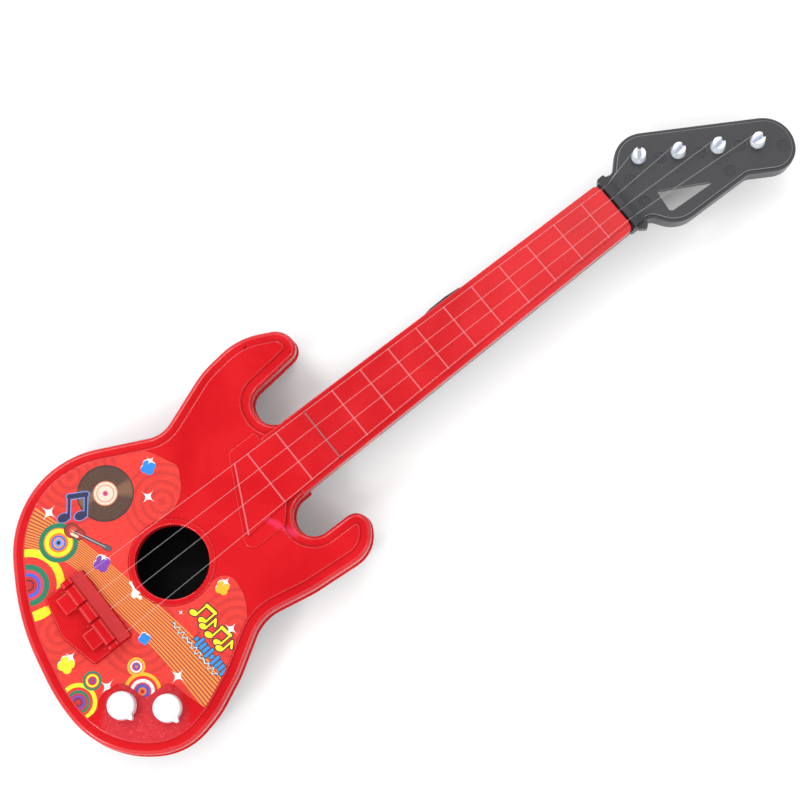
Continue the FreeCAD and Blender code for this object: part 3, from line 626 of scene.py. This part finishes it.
def lay_record(art, x, y, radius):
    """A brown record with fine grooves and a cream middle."""
    paint = art.paint
    seen = art.local(x, y)
    away = paint.length(seen)
    u, v, _ = paint.parts(seen)
    art.lay(away.below(radius + 0.7), INK)
    groove = (away * 3.2).do("SINE")
    angle = v.do("ARCTAN2", u)
    sheen = paint.fade((angle * 2.0 + 0.9).do("COSINE"), 0.6, 1.0) * 0.4
    brown = paint.mix(paint.fade(groove, 0.2, 0.9) * 0.45, BROWN, rgb(52, 32, 24))
    brown = paint.mix(sheen, brown, rgb(176, 128, 92))
    art.lay(away.below(radius), brown)
    art.lay(away.below(radius * 0.46), rgb(216, 120, 84))
    art.lay(away.below(radius * 0.42), CREAM)
    art.lay((away - radius * 0.31).absolute().below(0.35), rgb(232, 150, 130))
    art.lay(away.below(radius * 0.1), rgb(238, 84, 140))
    art.lay(away.below(radius * 0.035), INK)


def lay_small_guitar(art, x, y, turn):
    place = art.local(x, y, turn)
    neck = art.bar(place, (0, 0), (20, 0), 0.75).least(art.bar(place, (20, 0), (22.5, 0), 1.35))
    art.outlined(neck, GREY, INK, 0.4)
    shape = art.circle(place, -3.2, 0, 4.6, 0.92).least(art.circle(place, 1.8, 0, 3.4, 0.95))
    art.outlined(shape, rgb(176, 36, 30), INK, 0.5)
    art.lay(art.circle(place, -2.6, 0.2, 2.6).below(0.0), rgb(214, 84, 50))
    art.lay(art.bar(place, (-2.6, -1.9), (1.4, -1.9), 0.8).below(0.0), CREAM)
    art.lay(art.circle(place, -0.6, 0.2, 1.1).below(0.0), INK)
    strings = art.bar(place, (-3.5, 0), (20, 0), 0.16)
    art.lay(strings.below(0.0), rgb(220, 220, 220))


def lay_note_row(art):
    """Yellow notes that stand along the label's right lobe."""
    for x, y, size, beamed in NOTE_ROW:
        art.outlined(art.note(art.local(x, y, NOTE_ROW_TURN), size, beamed), YELLOW, INK, 0.75)


def lay_level_bars(art):
    """Blue bars of changing height, like a sound meter."""
    paint = art.paint
    u, v, _ = paint.parts(art.local(*LEVEL_BARS))
    pitch = LEVEL_BAR_PITCH
    half = pitch * LEVEL_BAR_COUNT / 2
    number = (u / pitch).do("FLOOR")
    tall = (number * 1.9).do("SINE").absolute() * 2.4 + 1.3
    inside = (u - half).absolute() - half
    gap = ((u / pitch).do("FRACT") - 0.5).absolute() * pitch - 0.95
    distance = gap.most(v.absolute() - tall).most(inside)
    art.lay(distance.below(0.42) * inside.below(0.4), INK)
    art.lay(distance.below(0.0), rgb(40, 150, 232))


def lay_wave(art):
    """A thin white sound wave with a dark edge."""
    paint = art.paint
    u, v, _ = paint.parts(art.local(*SOUND_WAVE))
    half = SOUND_WAVE_LENGTH / 2
    swell = (u * 0.21).do("SINE").absolute() + 0.25
    height = (u * 1.55).do("SINE") * swell * 1.25
    thick = (v - height).absolute() - 0.42
    inside = (u - half).absolute() - half
    art.outlined(thick.most(inside), rgb(222, 240, 250), INK, 0.38)


def make_label():
    paint = Paint("printed_label", IOR=1.5, Specular_IOR_Level=0.1)
    mottle = paint.noise(0.15, 3.0, 0.6)
    art = Artwork(paint, paint.mix(mottle * 0.25, GROUND, rgb(244, 70, 44)))
    lay_swirls(art)
    lay_stripes(art)
    for target in TARGETS:
        lay_target(art, *target)
    slab = art.bar(art.at, *YELLOW_SLAB, 0.6)
    u, v, _ = paint.parts(art.local(*YELLOW_BLOCK))
    half_u, half_v = YELLOW_BLOCK_HALF
    art.lay((u.absolute() - half_u).most(v.absolute() - half_v).least(slab).below(0.0), YELLOW)
    for blossom in BLOSSOMS:
        lay_blossom(art, *blossom)
    lay_record(art, *RECORD, RECORD_RADIUS)
    art.outlined(art.note(art.local(*NAVY_NOTES), NAVY_NOTES_SIZE, True), NAVY, rgb(116, 150, 226), 0.6)
    lay_small_guitar(art, *SMALL_GUITAR)
    lay_note_row(art)
    lay_level_bars(art)
    lay_wave(art)
    art.lay(torn_spot(art).below(0.0), BARE_PAPER)
    for sparkle in SPARKLES:
        lay_sparkle(art, *sparkle)
    dots = paint.cells(2.4)
    printed = paint.mix(paint.fade(dots, 0.1, 0.6) * 0.05, art.colour, rgb(255, 255, 255))
    paint.set("Base Color", paint.mix(0.22, printed, rgb(0, 0, 0)))
    rubbed = scratches(paint, 48.0, 1.0)
    paint.set("Roughness", paint.fade(mottle, 0.3, 0.7, 0.26, 0.36) + rubbed * 0.2)
    ripple = paint.noise(0.05, 2.0)
    paint.bump((ripple, 0.18), (paint.noise(1.1, 2.0), 0.008), (rubbed, -0.01))
    return paint.material


# ---- materials on the CAD pieces -----------------------------------------------------------------
def dress(material, *nodes):
    """Give CAD nodes this material in place of their own."""
    for name in nodes:
        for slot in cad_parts[name].material_slots:
            slot.link = "OBJECT"
            slot.material = material


PEG_NUMBERS = range(1, 5)
KNOBS = ("upper_knob", "lower_knob")
nylon = make_nylon()
steel = make_steel()
dress(make_red(), "front_shell", "bridge")
dress(make_charcoal(), "back_shell", "nut")
dress(make_label(), "front_label")
dress(make_white("white_plastic_moulded", rgb(214, 215, 221), rgb(225, 226, 230)), *KNOBS)
dress(make_white("white_plastic_pegs", rgb(218, 224, 236), rgb(232, 236, 244)),
      *[f"peg_post_{n}" for n in PEG_NUMBERS], *[f"peg_key_{n}" for n in PEG_NUMBERS])
dress(nylon, *[f"string_{n}" for n in PEG_NUMBERS])
dress(steel, "body_screws", "neck_screws", "bridge_screws", *[f"{k}_screw" for k in KNOBS],
      *[f"{k}_washer" for k in KNOBS])


# ---- string windings -----------------------------------------------------------------------------
STRING_RADIUS = 0.28 * MM
WINDING_RADIUS = 4.61 * MM
STRAND_RADIUS = 4.59 * MM              # where the inner end runs up the post, under the turns
WINDING_PITCH = 0.6 * MM
SLOT_ANGLES = (50.0, 8.0, 8.0, -5.0)            # degrees from x, one for each post
TOUCH_ANGLES = (105.0, 94.0, 89.0, 86.5)        # where the taut string meets each post
SLOT_FLOOR = 5.8 * MM                  # below the post's top
FULL_TURNS = 2
STEPS_PER_TURN = 40
TUBE_SIDES = 10
BEND = 0.5 * MM                        # the inner end's bends
GAP = 0.05 * MM                        # between the inner end and the slot's floor


def tube(name, points, radius, material):
    """A round tube along points, with flat ends."""
    sides = TUBE_SIDES
    vertices = []
    faces = []
    forward = (points[1] - points[0]).normalized()
    side = forward.orthogonal().normalized()
    count = len(points)
    for i, point in enumerate(points):
        before = points[max(i - 1, 0)]
        after = points[min(i + 1, count - 1)]
        forward = (after - before).normalized()
        side = (side - forward * side.dot(forward)).normalized()
        other = forward.cross(side)
        for k in range(sides):
            angle = 2 * math.pi * k / sides
            vertices.append(point + (side * math.cos(angle) + other * math.sin(angle)) * radius)
    for i in range(count - 1):
        for k in range(sides):
            low = i * sides + k
            next_low = i * sides + (k + 1) % sides
            faces.append((low, next_low, next_low + sides, low + sides))
    faces.append(tuple(reversed(range(sides))))
    faces.append(tuple(range((count - 1) * sides, count * sides)))
    mesh = bpy.data.meshes.new(name)
    mesh.from_pydata([tuple(v) for v in vertices], [], faces)
    mesh.polygons.foreach_set("use_smooth", [len(p.vertices) == 4 for p in mesh.polygons])
    mesh.materials.append(material)
    made = bpy.data.objects.new(name, mesh)
    bpy.context.scene.collection.objects.link(made)
    return made


def winding_points(middle, top, post_top, first_angle, slot_angle):
    """Turns that go down the post, then the inner end, which runs up under them into the slot.

    All but the last half turn is lifted where it crosses the inner end.
    """
    whole = first_angle - slot_angle + 2 * math.pi * FULL_TURNS
    steps = round(whole / (2 * math.pi) * STEPS_PER_TURN)
    points = []
    for i in range(steps + 1):
        turned = whole * i / steps
        angle = first_angle - turned
        over = math.cos(angle - slot_angle)
        reach = WINDING_RADIUS
        if i < steps - STEPS_PER_TURN / 2:
            reach += 2 * STRING_RADIUS * max(0.0, (over - 0.9) / 0.1) ** 1.5
        drop = WINDING_PITCH * turned / (2 * math.pi)
        points.append(middle + Vector((reach * math.cos(angle), reach * math.sin(angle), top - drop)))
    along = Vector((math.cos(slot_angle), math.sin(slot_angle), 0))
    slot_floor = post_top - SLOT_FLOOR + STRING_RADIUS + GAP
    inner_end = (
        (STRAND_RADIUS, points[-1].z + BEND),
        (STRAND_RADIUS, slot_floor - BEND),
        (STRAND_RADIUS - 0.2 * MM, slot_floor + 0.2 * MM),
        (STRAND_RADIUS - BEND * 1.4, slot_floor + BEND),
        (1.2 * MM, slot_floor + 1.3 * MM),
    )
    for reach, height in inner_end:
        points.append(middle + along * reach + Vector((0, 0, height)))
    return points


for number in PEG_NUMBERS:
    post_low, post_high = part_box(f"peg_post_{number}")
    middle = (post_low + post_high) / 2
    middle.z = 0.0
    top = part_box(f"string_winding_{number}")[1].z - STRING_RADIUS
    slot_angle = math.radians(SLOT_ANGLES[number - 1])
    first_angle = math.radians(TOUCH_ANGLES[number - 1])
    points = winding_points(middle, top, post_high.z, first_angle, slot_angle)
    turns = tube(f"string_turns_{number}", points, STRING_RADIUS, nylon)
    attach(turns, f"peg_{number}")
    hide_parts(f"string_winding_{number}")


# ---- floor, light and camera ---------------------------------------------------------------------
FLOOR_SIZE = 40.0

# name, place, target, width and height, watts
LIGHTS = [
    ("key", (-0.2, 1.0, 1.2), (-0.05, 0.0, 0.0), (0.55, 0.5), 4.0),
    ("fill", (0.5, -1.2, 0.9), (0.0, 0.0, 0.0), (0.4, 0.2), 1.8),
    ("left", (-1.4, -0.2, 0.9), (-0.1, 0.0, 0.0), (0.3, 0.2), 5.5),
    ("right", (1.0, 0.9, 1.0), (0.1, 0.0, 0.0), (0.6, 0.5), 2.5),
    ("neck_sheen", (0.62, 0.28, 1.5), (0.1, 0.0, 0.0), (0.5, 0.4), 1.1),
]

# the surroundings' brightness: (how far up, from 0 at the horizon to 1 overhead, level), and the
# strength that it is multiplied by, which changes along x
SKY_LEVELS = [(0.0, 0.35), (0.35, 1.25), (0.84, 1.8), (0.95, 0.16)]
SKY_SIDES = {"From Min": -0.8, "From Max": 0.8, "To Min": 1.15, "To Max": 0.7}

# the camera, and the directions to the right and up in its view
CAMERA_PLACE = (-0.12167, -0.21508, 1.22194)
CAMERA_RIGHT = (0.78466, -0.61892, -0.03521)
CAMERA_UP = (0.61316, 0.76648, 0.19116)
SENSOR_WIDTH = 36.0
FOCAL_LENGTH = 87.75


def make_floor():
    mesh = bpy.data.meshes.new("floor")
    half = FLOOR_SIZE / 2
    corners = [(-half, -half, 0), (half, -half, 0), (half, half, 0), (-half, half, 0)]
    mesh.from_pydata(corners, [], [(0, 1, 2, 3)])
    floor = bpy.data.objects.new("floor", mesh)
    bpy.context.scene.collection.objects.link(floor)
    paint = Paint("pale_floor", Roughness=0.9, Specular_IOR_Level=0.1, Emission_Strength=0.07)
    paint.set("Base Color", paint.mix(paint.noise(0.01, 2.0), rgb(241, 240, 240), rgb(243, 243, 243)))
    paint.set("Emission Color", rgb(255, 255, 255))
    mesh.materials.append(paint.material)


def area_light(name, place, target, size, power):
    light = bpy.data.lights.new(name, "AREA")
    light.shape = "RECTANGLE"
    light.size, light.size_y = size
    light.energy = power
    made = bpy.data.objects.new(name, light)
    made.location = place
    made.rotation_mode = "QUATERNION"
    made.rotation_quaternion = (Vector(target) - Vector(place)).to_track_quat("-Z", "Y")
    bpy.context.scene.collection.objects.link(made)


def make_world():
    """White surroundings, brightest high up, dark straight overhead and dimmer towards the headstock."""
    world = bpy.data.worlds.new("studio")
    world.use_nodes = True
    bpy.context.scene.world = world
    tree = world.node_tree
    background = tree.nodes["Background"]
    direction = tree.nodes.new("ShaderNodeTexCoord")
    split = tree.nodes.new("ShaderNodeSeparateXYZ")
    ramp = tree.nodes.new("ShaderNodeValToRGB")
    elements = ramp.color_ramp.elements
    while len(elements) < len(SKY_LEVELS):
        elements.new(0.5)
    for element, (position, level) in zip(elements, SKY_LEVELS):
        element.position = position
        element.color = (level, level, level, 1.0)
    tree.links.new(direction.outputs["Generated"], split.inputs[0])
    tree.links.new(split.outputs["Z"], ramp.inputs["Fac"])
    tree.links.new(ramp.outputs["Color"], background.inputs["Color"])
    side = tree.nodes.new("ShaderNodeMapRange")
    for name, number in SKY_SIDES.items():
        side.inputs[name].default_value = number
    tree.links.new(split.outputs["X"], side.inputs["Value"])
    tree.links.new(side.outputs["Result"], background.inputs["Strength"])


def make_camera():
    camera = bpy.data.cameras.new("camera")
    camera.sensor_width = SENSOR_WIDTH
    camera.lens = FOCAL_LENGTH
    made = bpy.data.objects.new("camera", camera)
    bpy.context.scene.collection.objects.link(made)
    right = Vector(CAMERA_RIGHT).normalized()
    up = Vector(CAMERA_UP)
    up = (up - right * up.dot(right)).normalized()
    turned = Matrix((right, up, right.cross(up))).transposed().to_4x4()
    made.matrix_world = Matrix.Translation(CAMERA_PLACE) @ turned
    bpy.context.scene.camera = made


make_floor()
make_world()
for light in LIGHTS:
    area_light(*light)
make_camera()
bpy.context.scene.view_settings.view_transform = "Standard"
